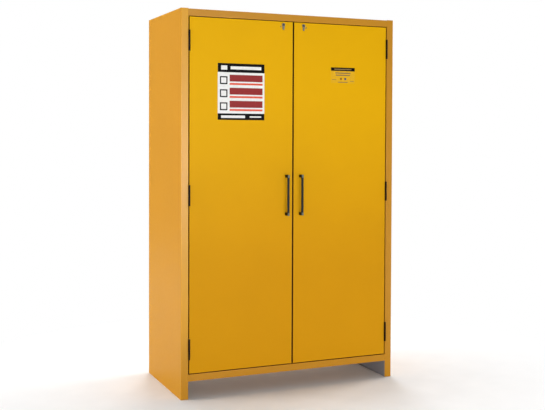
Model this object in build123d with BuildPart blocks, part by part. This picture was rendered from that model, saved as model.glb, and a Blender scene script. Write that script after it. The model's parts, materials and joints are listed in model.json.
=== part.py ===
from build123d import *
import math
import os
from typing import NamedTuple

# Two-door fire-resistant safety cabinet for flammable liquids, in millimetres.
# Origin: on the floor, under the middle of the whole object's plan.
# +X to the right as seen from the doors, +Y towards the back, +Z up.

os.makedirs("parts", exist_ok=True)

# ---- carcass ----------------------------------------------------------------
WIDTH = 1193.0
DEPTH = 615.0
HEIGHT = 1953.0
SHEET = 1.5
BEND = 2.0
STILE = 38.0
STILE_STEP = 2.0
FASCIA = 35.5
RAIL_LOW = 89.5
RAIL_HIGH = 125.5
REBATE_DEPTH = 53.0
REAR_RETURN = 36.5
LINER = 4.0
INNER_HALF = 525.0
INNER_LOW = 140.0
INNER_HIGH = 1882.0
INNER_BACK = 575.0

# ---- doors ------------------------------------------------------------------
DOOR_THICKNESS = 50.0
DOOR_LOW = 129.5
DOOR_HIGH = 1912.0
SIDE_GAP = 5.25
MEETING_GAP = 8.0
MEETING_CENTRE = 6.5
DOOR_RETURN = 15.0
CORNER = 2.0

# ---- hinges -----------------------------------------------------------------
HINGE_HEIGHTS = (252.0, 1022.5, 1793.5)
HINGE_LENGTH = 104.0
HINGE_PROUD = 6.0
HINGE_OFFSET = 2.5
KNUCKLE_RADIUS = 4.8
KNUCKLE_SLACK = 0.6
KNUCKLE_CAP = 4.0
PIN_RADIUS = 2.5
PIN_PLAY = 0.04
LEAF = 2.0
LEAF_DEPTH = 30.0

# ---- handles ----------------------------------------------------------------
HANDLE_REACH = 40.0
HANDLE_FROM_GAP = 39.5
HANDLE_LOW = 908.0
HANDLE_HIGH = 1119.5
HANDLE_WIDTH = 10.5
HANDLE_POST = 15.0
HANDLE_BAR = 11.0
HANDLE_CAP = 3.0

# ---- locks ------------------------------------------------------------------
LOCK_FROM_GAP = 57.0
LOCK_Z = 1896.0
LOCK_HEAD = 8.5
LOCK_STEM = 5.0
LOCK_DROP = 26.0
LOCK_PROUD = 3.0
LOCK_LENGTH = 30.0
PLUG_RADIUS = 6.0
PLUG_PLAY = 0.05
CRANK = 8.5
CRANK_PIN = 2.0
CRANK_EDGE = 4.0
CRANK_THICK = 3.0
THROW = 2 * CRANK * math.sin(math.radians(45))
YOKE_PLAY = 0.7
BOLT_THICK = 5.0
BOLT_HALF = 9.0
BOLT_PLATE_HALF = 14.0
BOLT_TAIL = 16.0
CASE_HALF = 20.0
CASE_FRONT = 20.0
CASE_BACK = 38.0
CASE_DROP = 34.0

# ---- inside -----------------------------------------------------------------
SLOT_FIRST = 228.0
SLOT_PITCH = 192.0
SLOT_COUNT = 9
UPRIGHT_DEPTHS = (110.0, 430.0)
UPRIGHT_WIDTH = 25.0
UPRIGHT_DEEP = 12.0
SHELF_SLOTS = (2, 4, 6)
SHELF_HALF = 509.0
SHELF_DEPTHS = (62.0, 488.0)
SHELF_RIM = 30.0
SHELF_SEAM = 0.1
CLIP_WIDTH = 22.0
CLIP_NOSE = 16.0
SUMP_HALF = 515.0
SUMP_DEPTHS = (70.0, 540.0)
SUMP_RIM = 65.0
GRID_INSET = 8.0
GRID_HEIGHT = 58.0
GRID_PITCH = (108.0, 104.0)
GRID_COUNT = (9, 4)
GRID_SLOT = (72.0, 16.0)

# ---- ventilation and earthing -----------------------------------------------
SPIGOT_X = 150.0
SPIGOT_DEPTH = 535.0
SPIGOT_RADIUS = 37.5
SPIGOT_RISE = 45.0
COLLAR_WIDTH = 104.0
FLAP_BOX = (76.0, 69.0)
FLAP_HEIGHT = 63.0
FLAP_THICK = 2.0
FLAP_PLAY = 1.0
FLAP_SHAFT = 2.5
FLAP_Z = 1918.5
AIR_WINDOW = 50.0
ROOF_WINDOW = 78.0
DUCT_HALF = 45.0
DUCT_DEEP = 25.0
DUCT_HEAD = 80.0
EARTH_X = 480.0
EARTH_RADIUS = 4.0
EARTH_RISE = 24.5

# ---- legs -------------------------------------------------------------------
LEG_RISE = 20.0
FOOT_DEPTHS = (45.0, 570.0)
FOOT_HEAD = (9.2, 7.0)
FOOT_STUD = 5.0
FOOT_LENGTH = 64.0
FOOT_SHELF = 12.0

# ---- worked out -------------------------------------------------------------
FRONT = (HANDLE_REACH - DEPTH) / 2
BACK = FRONT + DEPTH
OUTER_HALF = WIDTH / 2
OPEN_HALF = OUTER_HALF - STILE
SHEET_HALF = OUTER_HALF - SHEET
OPEN_HIGH = HEIGHT - STILE_STEP - FASCIA
ROOF_Z = HEIGHT - STILE_STEP
LINER_HALF = INNER_HALF + LINER
LINER_LOW = INNER_LOW - LINER
LINER_HIGH = INNER_HIGH + LINER
HINGE_X = OPEN_HALF - SIDE_GAP + HINGE_OFFSET
BOARD_GAP = 1.0
FOLD_GAP = 0.5
REAR_HALF = OUTER_HALF - REAR_RETURN
CRANK_BACK = LOCK_LENGTH - LOCK_PROUD + 0.3 + CRANK_THICK
BOLT_FRONT = CRANK_BACK + 0.5
BOLT_BACK = BOLT_FRONT + BOLT_THICK
SHELF_SEATS = tuple(SLOT_FIRST + SLOT_PITCH * k + 8.0 for k in SHELF_SLOTS)


class Door(NamedTuple):
    name: str
    hinge_side: int

    @property
    def hinge_edge(self):
        return self.hinge_side * (OPEN_HALF - SIDE_GAP)

    @property
    def meeting_edge(self):
        return MEETING_CENTRE + self.hinge_side * MEETING_GAP / 2

    @property
    def span(self):
        return tuple(sorted((self.hinge_edge, self.meeting_edge)))

    @property
    def handle_x(self):
        return MEETING_CENTRE + self.hinge_side * HANDLE_FROM_GAP

    @property
    def lock_x(self):
        return MEETING_CENTRE + self.hinge_side * LOCK_FROM_GAP


DOORS = (Door("left", -1), Door("right", 1))


def depth(distance):
    """The y of a plane this far behind the carcass front."""
    return FRONT + distance


def depths(near, far):
    return (depth(near), depth(far))


def facing(distance):
    """An upright plane at a depth, seen from the doors: x right, z up, extruding forwards."""
    return Plane(origin=(0, depth(distance), 0), x_dir=(1, 0, 0), z_dir=(0, -1, 0))


def slab(x, y, z, mode=Mode.ADD):
    """A box between two limits on each axis."""
    with Locations(((x[0] + x[1]) / 2, (y[0] + y[1]) / 2, (z[0] + z[1]) / 2)):
        Box(x[1] - x[0], y[1] - y[0], z[1] - z[0], mode=mode)


def grown(limits, amount):
    return (limits[0] - amount, limits[1] + amount)


def spigot_spots():
    return [(sign * SPIGOT_X, depth(SPIGOT_DEPTH)) for sign in (-1, 1)]


def write(piece, name):
    piece.part.label = name
    export_step(piece.part, f"parts/{name}.step")


# ---- carcass shells -----------------------------------------------------------
def side_shells():
    """Folded side: rebate, jamb, stile face, side and rear return in one sheet down to the floor."""
    section = (
        (LINER_HALF, depth(REBATE_DEPTH)),
        (OPEN_HALF, depth(REBATE_DEPTH)),
        (OPEN_HALF, FRONT),
        (OUTER_HALF, FRONT),
        (OUTER_HALF, BACK),
        (REAR_HALF, BACK),
    )
    with BuildPart() as right:
        with BuildSketch() as fold:
            with BuildLine():
                Polyline(*section)
                offset(amount=SHEET, side=Side.LEFT, kind=Kind.INTERSECTION)
            make_face()
            fillet(fold.vertices().group_by(Axis.Y)[0], BEND)
        extrude(amount=HEIGHT)
        behind_stile = depths(SHEET, REBATE_DEPTH + 10)
        inwards = (LINER_HALF - 1, SHEET_HALF)
        slab(inwards, behind_stile, (0, RAIL_HIGH), mode=Mode.SUBTRACT)
        slab(inwards, behind_stile, (OPEN_HIGH, HEIGHT), mode=Mode.SUBTRACT)
    write(right, "right_side_shell")
    with BuildPart() as left:
        mirror(right.part, about=Plane.YZ)
    write(left, "left_side_shell")


def cross_shell(section, side):
    """A sheet folded to a section in the YZ plane, running between the side sheets."""
    with BuildSketch(Plane.YZ.offset(-SHEET_HALF)) as fold:
        with BuildLine():
            Polyline(*section)
            offset(amount=SHEET, side=side, kind=Kind.INTERSECTION)
        make_face()
        fillet(fold.vertices().group_by(Axis.X)[0], BEND)
    extrude(fold.sketch, amount=2 * SHEET_HALF)


def notch_ends(rebate_z, ends_z):
    """Clear the stile faces, the side rebates and the rear returns at both ends."""
    for sign in (-1, 1):
        stile = tuple(sorted((sign * OPEN_HALF, sign * WIDTH)))
        rebate = tuple(sorted((sign * LINER_HALF, sign * WIDTH)))
        rear = tuple(sorted((sign * REAR_HALF, sign * WIDTH)))
        slab(stile, depths(-1, SHEET + FOLD_GAP), ends_z, mode=Mode.SUBTRACT)
        slab(rebate, depths(REBATE_DEPTH - 2 * BEND, REBATE_DEPTH + 10), rebate_z, mode=Mode.SUBTRACT)
        slab(rear, depths(DEPTH - SHEET - FOLD_GAP, DEPTH + 1), ends_z, mode=Mode.SUBTRACT)


def top_shell():
    section = (
        (depth(REBATE_DEPTH), LINER_HIGH),
        (depth(REBATE_DEPTH), OPEN_HIGH),
        (FRONT, OPEN_HIGH),
        (FRONT, ROOF_Z),
        (BACK, ROOF_Z),
        (BACK, ROOF_Z - 31),
    )
    with BuildPart() as top:
        cross_shell(section, Side.RIGHT)
        notch_ends((LINER_HIGH - 1, OPEN_HIGH), (LINER_HIGH - 1, HEIGHT))
        with BuildSketch(Plane.XY.offset(ROOF_Z - SHEET)):
            with Locations(*spigot_spots()):
                Rectangle(ROOF_WINDOW, ROOF_WINDOW)
        extrude(amount=SHEET, mode=Mode.SUBTRACT)
        for door in DOORS:
            bolt_slot = (door.lock_x - BOLT_HALF - 1.5, door.lock_x + BOLT_HALF + 1.5)
            slot_depths = depths(BOLT_FRONT - 1.5, BOLT_BACK + 1.5)
            slab(bolt_slot, slot_depths, (OPEN_HIGH, OPEN_HIGH + SHEET), mode=Mode.SUBTRACT)
    write(top, "top_shell")


def base_shell():
    section = (
        (depth(REBATE_DEPTH), LINER_LOW),
        (depth(REBATE_DEPTH), RAIL_HIGH),
        (FRONT, RAIL_HIGH),
        (FRONT, RAIL_LOW),
        (BACK, RAIL_LOW),
        (BACK, RAIL_LOW + 30.5),
    )
    with BuildPart() as base:
        cross_shell(section, Side.LEFT)
        notch_ends((RAIL_HIGH, LINER_LOW + 1), (RAIL_LOW, LINER_LOW + 1))
    write(base, "base_shell")


def rear_shell():
    """Plain back sheet between the returns, with pressed stiffening swages."""
    with BuildPart() as rear:
        slab((-REAR_HALF, REAR_HALF), (BACK - SHEET, BACK), (RAIL_LOW + 30.5, ROOF_Z - 31))
        with BuildSketch(facing(DEPTH)):
            with GridLocations(360, 0, 3, 1):
                with Locations((0, (RAIL_LOW + ROOF_Z) / 2)):
                    Rectangle(26, 1500)
        extrude(amount=0.8, mode=Mode.SUBTRACT)
    write(rear, "rear_shell")


def leg_plates():
    """Upright plates that close the legs, their lower edge rising slightly to the back."""
    with BuildPart() as plates:
        with BuildSketch(Plane.YZ.offset(OPEN_HALF)):
            Polygon(
                (depth(SHEET), 0),
                (depth(DEPTH - SHEET), LEG_RISE),
                (depth(DEPTH - SHEET), RAIL_LOW),
                (depth(SHEET), RAIL_LOW),
                align=None,
            )
        extrude(amount=SHEET)
        mirror(about=Plane.YZ)
    write(plates, "leg_plates")


def foot_rails():
    """Joggled strips in the legs: flat on the floor, raised and square-holed over the feet."""
    thick = 3.0
    near, far = FOOT_DEPTHS
    strip = (
        (depth(SHEET + 1), FOOT_SHELF),
        (depth(near + 26), FOOT_SHELF),
        (depth(near + 42), 0),
        (depth(far - 42), 0),
        (depth(far - 26), FOOT_SHELF),
        (depth(DEPTH - SHEET - 1), FOOT_SHELF),
    )
    with BuildPart() as rails:
        with BuildSketch(Plane.YZ.offset(OPEN_HALF + SHEET)):
            with BuildLine():
                Polyline(*strip)
                offset(amount=thick, side=Side.LEFT, kind=Kind.INTERSECTION)
            make_face()
        extrude(amount=SHEET_HALF - OPEN_HALF - SHEET)
        with BuildSketch():
            with Locations(*((foot_x(1), depth(d)) for d in FOOT_DEPTHS)):
                Rectangle(2 * FOOT_STUD + 0.16, 2 * FOOT_STUD + 0.16)
        extrude(amount=FOOT_SHELF + 2 * thick, mode=Mode.SUBTRACT)
        mirror(about=Plane.YZ)
    write(rails, "foot_rails")


def foot_x(sign):
    return sign * (OPEN_HALF + SHEET + SHEET_HALF) / 2


def levelling_feet():
    """Hexagon-headed levelling screws, head down and wound right up."""
    head_radius, head_tall = FOOT_HEAD
    for row, d in zip(("front", "rear"), FOOT_DEPTHS):
        for door in DOORS:
            spot = (foot_x(door.hinge_side), depth(d))
            with BuildPart() as foot:
                with BuildSketch(Plane.XY.offset(1)):
                    with Locations(spot):
                        RegularPolygon(head_radius, 6)
                extrude(amount=head_tall)
                with BuildSketch(Plane.XY.offset(1 + head_tall)):
                    with Locations(spot):
                        Circle(FOOT_STUD)
                extrude(amount=FOOT_LENGTH - head_tall)
            write(foot, f"{row}_{door.name}_foot")


# ---- insulation and liners ------------------------------------------------------
def side_insulation():
    """Boards that fill each side wall and the hollow stile in front of it."""
    with BuildPart() as boards:
        upright = (RAIL_HIGH, OPEN_HIGH)
        slab((LINER_HALF, SHEET_HALF), depths(REBATE_DEPTH + SHEET, DEPTH - SHEET - BOARD_GAP), upright)
        stile = (OPEN_HALF + SHEET, SHEET_HALF)
        slab(stile, depths(SHEET + BOARD_GAP, REBATE_DEPTH + SHEET), upright)
        mirror(about=Plane.YZ)
    write(boards, "side_insulation")


def roof_insulation():
    with BuildPart() as board:
        whole = (-SHEET_HALF, SHEET_HALF)
        slab(whole, depths(SHEET + BOARD_GAP, DEPTH - SHEET - BOARD_GAP), (OPEN_HIGH + SHEET, ROOF_Z - SHEET))
        inner = (-LINER_HALF, LINER_HALF)
        slab(inner, depths(REBATE_DEPTH + SHEET, INNER_BACK + LINER), (LINER_HIGH, OPEN_HIGH + SHEET))
        with BuildSketch(Plane.XY.offset(LINER_HIGH)):
            with Locations(*spigot_spots()):
                Rectangle(ROOF_WINDOW, ROOF_WINDOW)
        extrude(amount=ROOF_Z - LINER_HIGH, mode=Mode.SUBTRACT)
        for door in DOORS:
            slab(*strike_box(door), mode=Mode.SUBTRACT)
    write(board, "roof_insulation")


def floor_insulation():
    with BuildPart() as board:
        whole = (-SHEET_HALF, SHEET_HALF)
        board_y = depths(SHEET + BOARD_GAP, DEPTH - SHEET - BOARD_GAP)
        slab(whole, board_y, (RAIL_LOW + SHEET, RAIL_HIGH - SHEET))
        inner = (-LINER_HALF, LINER_HALF)
        slab(inner, depths(REBATE_DEPTH + SHEET, INNER_BACK + LINER), (RAIL_HIGH - SHEET, LINER_LOW))
    write(board, "floor_insulation")


def rear_insulation():
    with BuildPart() as board:
        back = depths(INNER_BACK + LINER, DEPTH - SHEET - BOARD_GAP)
        slab((-LINER_HALF, LINER_HALF), back, (RAIL_HIGH, OPEN_HIGH))
    write(board, "rear_insulation")


def liners():
    """Smooth chemical-resistant panels round the storage space."""
    with BuildPart() as sides:
        slab((INNER_HALF, LINER_HALF), depths(REBATE_DEPTH, INNER_BACK + LINER), (LINER_LOW, LINER_HIGH))
        mirror(about=Plane.YZ)
    write(sides, "side_liners")
    across = (-INNER_HALF, INNER_HALF)
    with BuildPart() as rear:
        slab(across, depths(INNER_BACK, INNER_BACK + LINER), (LINER_LOW, LINER_HIGH))
    write(rear, "rear_liner")
    with BuildPart() as roof:
        slab(across, depths(REBATE_DEPTH, INNER_BACK), (INNER_HIGH, LINER_HIGH))
        with BuildSketch(Plane.XY.offset(INNER_HIGH)):
            with Locations(*spigot_spots()):
                Rectangle(AIR_WINDOW, AIR_WINDOW)
        extrude(amount=LINER, mode=Mode.SUBTRACT)
    write(roof, "roof_liner")
    with BuildPart() as floor:
        slab(across, depths(REBATE_DEPTH, INNER_BACK), (LINER_LOW, INNER_LOW))
    write(floor, "floor_liner")


def frame_seals():
    """Swelling fire seals stuck on the rebate all round the opening."""
    thick = 2.5
    seal_y = depths(REBATE_DEPTH - thick, REBATE_DEPTH)
    with BuildPart() as seals:
        slab((535, 547), seal_y, (DOOR_LOW, DOOR_HIGH - 4))
        mirror(about=Plane.YZ)
        slab((-534, 534), seal_y, (DOOR_HIGH - 18, DOOR_HIGH - 6))
        slab((-534, 534), seal_y, (DOOR_LOW, DOOR_LOW + 6))
    write(seals, "frame_seals")


# ---- doors ------------------------------------------------------------------------
def euro_profile(door, grow=0.0):
    """The round head and straight stem of a profile cylinder, on an upright plane."""
    with Locations((door.lock_x, LOCK_Z)):
        Circle(LOCK_HEAD + grow)
    with Locations((door.lock_x, LOCK_Z - (LOCK_DROP - LOCK_STEM) / 2)):
        SlotCenterToCenter(LOCK_DROP - LOCK_STEM, 2 * (LOCK_STEM + grow), rotation=90)


def lock_mortise(door, y):
    """A rectangular way for the cylinder through a hidden panel."""
    across = (door.lock_x - LOCK_HEAD - 0.5, door.lock_x + LOCK_HEAD + 0.5)
    slab(across, y, (LOCK_Z - LOCK_DROP - 0.5, LOCK_Z + LOCK_HEAD + 0.5), mode=Mode.SUBTRACT)


def bolt_passage(door, z):
    across = (door.lock_x - BOLT_HALF - 0.5, door.lock_x + BOLT_HALF + 0.5)
    slab(across, depths(BOLT_FRONT - 0.5, BOLT_BACK + 0.5), z, mode=Mode.SUBTRACT)


def door_skin(door):
    """Pressed door pan with returned edges and a lip that holds the inner panel."""
    with BuildPart() as skin:
        slab(door.span, depths(0, DOOR_THICKNESS), (DOOR_LOW, DOOR_HIGH))
        fillet(skin.faces().sort_by(Axis.Y)[0].edges(), CORNER)
        inside = grown(door.span, -SHEET)
        tall = (DOOR_LOW + SHEET, DOOR_HIGH - SHEET)
        slab(inside, depths(SHEET, DOOR_THICKNESS - SHEET), tall, mode=Mode.SUBTRACT)
        mouth = grown(door.span, -SHEET - DOOR_RETURN)
        mouth_z = grown(tall, -DOOR_RETURN)
        slab(mouth, depths(DOOR_THICKNESS - SHEET, DOOR_THICKNESS), mouth_z, mode=Mode.SUBTRACT)
        with BuildSketch(facing(SHEET)):
            euro_profile(door, 0.3)
        extrude(amount=SHEET, mode=Mode.SUBTRACT)
        bolt_passage(door, (DOOR_HIGH - SHEET, DOOR_HIGH))
    write(skin, f"{door.name}_door_skin")


def door_core(door):
    """Insulating board that fills the pan, mortised for the lock."""
    with BuildPart() as core:
        core_y = depths(SHEET, DOOR_THICKNESS - SHEET - LINER)
        slab(grown(door.span, -SHEET), core_y, (DOOR_LOW + SHEET, DOOR_HIGH - SHEET))
        slab(*case_box(door), mode=Mode.SUBTRACT)
        lock_mortise(door, depths(SHEET, CASE_FRONT))
    write(core, f"{door.name}_door_core")


def door_liner(door):
    with BuildPart() as panel:
        panel_y = depths(DOOR_THICKNESS - SHEET - LINER, DOOR_THICKNESS - SHEET)
        slab(grown(door.span, -SHEET), panel_y, (DOOR_LOW + SHEET, DOOR_HIGH - SHEET))
    write(panel, f"{door.name}_door_liner")


def meeting_seal(door):
    """Swelling strip stuck on the door's meeting edge."""
    thick = 1.2
    face = door.meeting_edge
    across = tuple(sorted((face, face - door.hinge_side * thick)))
    with BuildPart() as seal:
        slab(across, depths(12, 40), (DOOR_LOW + 3, DOOR_HIGH - 3))
    write(seal, f"{door.name}_meeting_seal")


# ---- hinges -----------------------------------------------------------------------
def upright_bar(x, z, radius, mode=Mode.ADD):
    """A round bar on a hinge axis between two heights."""
    with BuildSketch(Plane.XY.offset(z[0])) as section:
        with Locations((x, FRONT - HINGE_PROUD)):
            Circle(radius)
    extrude(section.sketch, amount=z[1] - z[0], mode=mode)


def lower_knuckle(middle):
    return (middle - HINGE_LENGTH / 2, middle - KNUCKLE_SLACK / 2)


def upper_knuckle(middle):
    return (middle + KNUCKLE_SLACK / 2, middle + HINGE_LENGTH / 2)


def hinge_half(side, leaf_x, middle, knuckle):
    """A flat leaf in the door gap, with a tongue that carries its own knuckle."""
    slab(leaf_x, depths(0, LEAF_DEPTH), (middle - HINGE_LENGTH / 2, middle + HINGE_LENGTH / 2))
    slab(leaf_x, depths(-HINGE_PROUD / 2, 0), knuckle)
    upright_bar(side * HINGE_X, knuckle, KNUCKLE_RADIUS)


def hinge_frame_leaves():
    """Lower halves, welded to the jambs."""
    with BuildPart() as leaves:
        for middle in HINGE_HEIGHTS:
            hinge_half(1, (OPEN_HALF - LEAF, OPEN_HALF), middle, lower_knuckle(middle))
        mirror(about=Plane.YZ)
    write(leaves, "hinge_frame_leaves")


def door_hinge_leaves(door):
    """Upper halves on the door, which drop over the pins."""
    with BuildPart() as leaves:
        edge = door.hinge_edge
        leaf_x = tuple(sorted((edge, edge + door.hinge_side * LEAF)))
        for middle in HINGE_HEIGHTS:
            hinge_half(door.hinge_side, leaf_x, middle, upper_knuckle(middle))
            bore = (middle, middle + HINGE_LENGTH / 2 - KNUCKLE_CAP)
            upright_bar(door.hinge_side * HINGE_X, bore, PIN_RADIUS + PIN_PLAY, mode=Mode.SUBTRACT)
    write(leaves, f"{door.name}_door_hinges")


def hinge_pins():
    """Plain pins that stand on the lower knuckles."""
    with BuildPart() as pins:
        for middle in HINGE_HEIGHTS:
            top = middle + HINGE_LENGTH / 2 - KNUCKLE_CAP - KNUCKLE_SLACK
            upright_bar(HINGE_X, (lower_knuckle(middle)[1], top), PIN_RADIUS)
        mirror(about=Plane.YZ)
    write(pins, "hinge_pins")


# ---- handles ----------------------------------------------------------------------
def handle_limits(door):
    return (door.handle_x - HANDLE_WIDTH / 2, door.handle_x + HANDLE_WIDTH / 2)


def handle_ends():
    return ((HANDLE_LOW, HANDLE_LOW + HANDLE_POST), (HANDLE_HIGH - HANDLE_POST, HANDLE_HIGH))


def handle_posts(door):
    with BuildPart() as posts:
        for end in handle_ends():
            slab(handle_limits(door), depths(HANDLE_CAP - HANDLE_REACH, 0), end)
        chamfer(posts.edges().filter_by(Axis.Y), 1.2)
    write(posts, f"{door.name}_handle_posts")


def handle_caps(door):
    """Satin end pieces on the front of each post, with bevelled rims."""
    with BuildPart() as caps:
        for end in handle_ends():
            slab(handle_limits(door), depths(-HANDLE_REACH, HANDLE_CAP - HANDLE_REACH), end)
        chamfer(caps.edges().filter_by(Axis.Y), 1.2)
        chamfer(caps.faces().filter_by(Axis.Y).sort_by(Axis.Y)[:2].edges(), 1.0)
    write(caps, f"{door.name}_handle_caps")


def handle_bar(door):
    """Grip bar between the posts, an eight-sided section with wide front bevels."""
    with BuildPart() as bar:
        grip = (HANDLE_LOW + HANDLE_POST, HANDLE_HIGH - HANDLE_POST)
        slab(handle_limits(door), depths(-HANDLE_REACH, HANDLE_BAR - HANDLE_REACH), grip)
        upright = bar.edges().filter_by(Axis.Z)
        chamfer(upright.sort_by(Axis.Y)[:2], 2.4)
        chamfer(bar.edges().filter_by(Axis.Z).sort_by(Axis.Y)[-2:], 1.2)
    write(bar, f"{door.name}_handle_bar")


# ---- locks ------------------------------------------------------------------------
def case_box(door):
    across = (door.lock_x - CASE_HALF, door.lock_x + CASE_HALF)
    return across, depths(CASE_FRONT, CASE_BACK), (LOCK_Z - CASE_DROP, DOOR_HIGH - SHEET)


def strike_box(door):
    across = (door.lock_x - 15, door.lock_x + 15)
    return across, depths(BOLT_FRONT - 5, BOLT_BACK + 5), (OPEN_HIGH + SHEET, OPEN_HIGH + SHEET + 14)


def lock_case(door):
    """Hollow mortise case with the cylinder's window and the bolt's guide slot on top."""
    with BuildPart() as case:
        across, deep, tall = case_box(door)
        slab(across, deep, tall)
        slab(grown(across, -SHEET), grown(deep, -SHEET), grown(tall, -SHEET), mode=Mode.SUBTRACT)
        lock_mortise(door, (deep[0], deep[0] + SHEET))
        bolt_passage(door, (tall[1] - SHEET, tall[1]))
    write(case, f"{door.name}_lock_case")


def lock_cylinder(door):
    with BuildPart() as body:
        with BuildSketch(facing(LOCK_LENGTH - LOCK_PROUD)):
            euro_profile(door)
            with Locations((door.lock_x, LOCK_Z)):
                Circle(PLUG_RADIUS + PLUG_PLAY, mode=Mode.SUBTRACT)
        extrude(amount=LOCK_LENGTH)
    write(body, f"{door.name}_lock_cylinder")


def lock_plug(door):
    """Key plug with its keyway, the crank arm behind it and the eccentric pin."""
    pin_spot = (door.lock_x + THROW / 2, LOCK_Z - THROW / 2)
    arm_middle = (door.lock_x + THROW / 4, LOCK_Z - THROW / 4)
    with BuildPart() as plug:
        with BuildSketch(facing(CRANK_BACK - CRANK_THICK)):
            with Locations((door.lock_x, LOCK_Z)):
                Circle(PLUG_RADIUS)
        extrude(amount=CRANK_BACK - CRANK_THICK + LOCK_PROUD)
        with BuildSketch(facing(12 - LOCK_PROUD)):
            with Locations((door.lock_x, LOCK_Z)):
                Rectangle(2.2, 8.4)
        extrude(amount=12, mode=Mode.SUBTRACT)
        with BuildSketch(facing(CRANK_BACK)):
            with Locations(arm_middle):
                Rectangle(CRANK + 2 * CRANK_EDGE, 2 * CRANK_EDGE, rotation=-45)
        extrude(amount=CRANK_THICK)
        with BuildSketch(facing(BOLT_BACK - 0.3)):
            with Locations(pin_spot):
                Circle(CRANK_PIN)
        extrude(amount=BOLT_BACK - 0.3 - CRANK_BACK)
    write(plug, f"{door.name}_lock_plug")


def lock_bolt(door):
    """Bolt plate with the yoke slot that the crank pin drives and the nose that enters the frame."""
    slot_low = CRANK * math.cos(math.radians(45)) - CRANK_PIN - 1.0
    slot_high = CRANK + CRANK_PIN + 1.0
    with BuildPart() as bolt:
        with BuildSketch(facing(BOLT_BACK)):
            with Locations((door.lock_x, LOCK_Z - BOLT_TAIL / 2)):
                Rectangle(2 * BOLT_PLATE_HALF, BOLT_TAIL)
            nose = DOOR_HIGH - 1.0 - LOCK_Z
            with Locations((door.lock_x, LOCK_Z + nose / 2)):
                Rectangle(2 * BOLT_HALF, nose)
            with Locations((door.lock_x + (slot_low + slot_high) / 2, LOCK_Z - THROW / 2)):
                Rectangle(slot_high - slot_low, 2 * (CRANK_PIN + YOKE_PLAY), mode=Mode.SUBTRACT)
        extrude(amount=BOLT_THICK)
        chamfer(bolt.faces().sort_by(Axis.Z)[-1].edges().filter_by(Axis.X), 0.8)
    write(bolt, f"{door.name}_lock_bolt")


def bolt_strikes():
    """Folded cups behind the header that take the thrown bolts."""
    with BuildPart() as strikes:
        for door in DOORS:
            across, deep, tall = strike_box(door)
            slab(across, deep, tall)
            hollow = (tall[0], tall[1] - SHEET)
            slab(grown(across, -SHEET), grown(deep, -SHEET), hollow, mode=Mode.SUBTRACT)
    write(strikes, "bolt_strikes")


# ---- storage inside -----------------------------------------------------------------
def shelf_uprights():
    """Slotted channels on the side panels, open towards the liner."""
    web = INNER_HALF - UPRIGHT_DEEP
    tall = (INNER_LOW + SUMP_RIM + 3, INNER_HIGH - 10)
    with BuildPart() as uprights:
        for middle in UPRIGHT_DEPTHS:
            limits = depths(middle - UPRIGHT_WIDTH / 2, middle + UPRIGHT_WIDTH / 2)
            slab((web, INNER_HALF), limits, tall)
            slab((web + SHEET, INNER_HALF), grown(limits, -SHEET), tall, mode=Mode.SUBTRACT)
        slots = [
            (depth(middle), SLOT_FIRST + SLOT_PITCH * k)
            for middle in UPRIGHT_DEPTHS
            for k in range(SLOT_COUNT)
        ]
        with BuildSketch(Plane.YZ.offset(web)):
            with Locations(*slots):
                Rectangle(6, 14)
        extrude(amount=SHEET, mode=Mode.SUBTRACT)
        mirror(about=Plane.YZ)
    write(uprights, "shelf_uprights")


def shelf_clips():
    """Bent clips: a back plate on the upright, a hook through its slot and a nose for the shelf."""
    web = INNER_HALF - UPRIGHT_DEEP
    with BuildPart() as clips:
        for slot, seat in zip(SHELF_SLOTS, SHELF_SEATS):
            hook_z = SLOT_FIRST + SLOT_PITCH * slot
            for middle in UPRIGHT_DEPTHS:
                limits = depths(middle - CLIP_WIDTH / 2, middle + CLIP_WIDTH / 2)
                slab((web - 2, web), limits, (seat - 24, seat))
                slab((web - 2 - CLIP_NOSE, web - 2), limits, (seat - 2, seat))
                hook = depths(middle - 2.5, middle + 2.5)
                slab((web, web + 4), hook, (hook_z - 4, hook_z + 4))
                slab((web + 2, web + 4), hook, (hook_z - 10, hook_z - 4))
        mirror(about=Plane.YZ)
    write(clips, "shelf_clips")


def shelves():
    """Tray shelves: a bottom sheet between four upright side plates."""
    across = (-SHELF_HALF, SHELF_HALF)
    near, far = depths(*SHELF_DEPTHS)
    inset = SHEET + SHELF_SEAM
    for number, seat in enumerate(SHELF_SEATS, start=1):
        tall = (seat, seat + SHELF_RIM)
        with BuildPart() as tray:
            slab(grown(across, -inset), grown((near, far), -inset), (seat, seat + SHEET))
            slab(across, (near, near + SHEET), tall)
            slab(across, (far - SHEET, far), tall)
            slab((SHELF_HALF - SHEET, SHELF_HALF), grown((near, far), -inset), tall)
            slab((-SHELF_HALF, SHEET - SHELF_HALF), grown((near, far), -inset), tall)
        write(tray, f"shelf_{number}")


def sump():
    """Welded collecting sump on the floor and the perforated insert that stands in it."""
    across = (-SUMP_HALF, SUMP_HALF)
    limits = depths(*SUMP_DEPTHS)
    rim = INNER_LOW + SUMP_RIM
    with BuildPart() as tray:
        slab(across, limits, (INNER_LOW, rim))
        slab(grown(across, -SHEET), grown(limits, -SHEET), (INNER_LOW + SHEET, rim), mode=Mode.SUBTRACT)
    write(tray, "sump_tray")
    across = grown(across, -GRID_INSET)
    limits = grown(limits, -GRID_INSET)
    foot = INNER_LOW + SHEET
    top = foot + GRID_HEIGHT
    with BuildPart() as grid:
        slab(across, limits, (foot, top))
        slab(grown(across, -SHEET), grown(limits, -SHEET), (foot, top - SHEET), mode=Mode.SUBTRACT)
        with BuildSketch(Plane.XY.offset(top - SHEET)):
            with Locations((0, (limits[0] + limits[1]) / 2)):
                with GridLocations(*GRID_PITCH, *GRID_COUNT):
                    Rectangle(*GRID_SLOT)
        extrude(amount=SHEET, mode=Mode.SUBTRACT)
    write(grid, "sump_grid")


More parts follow.
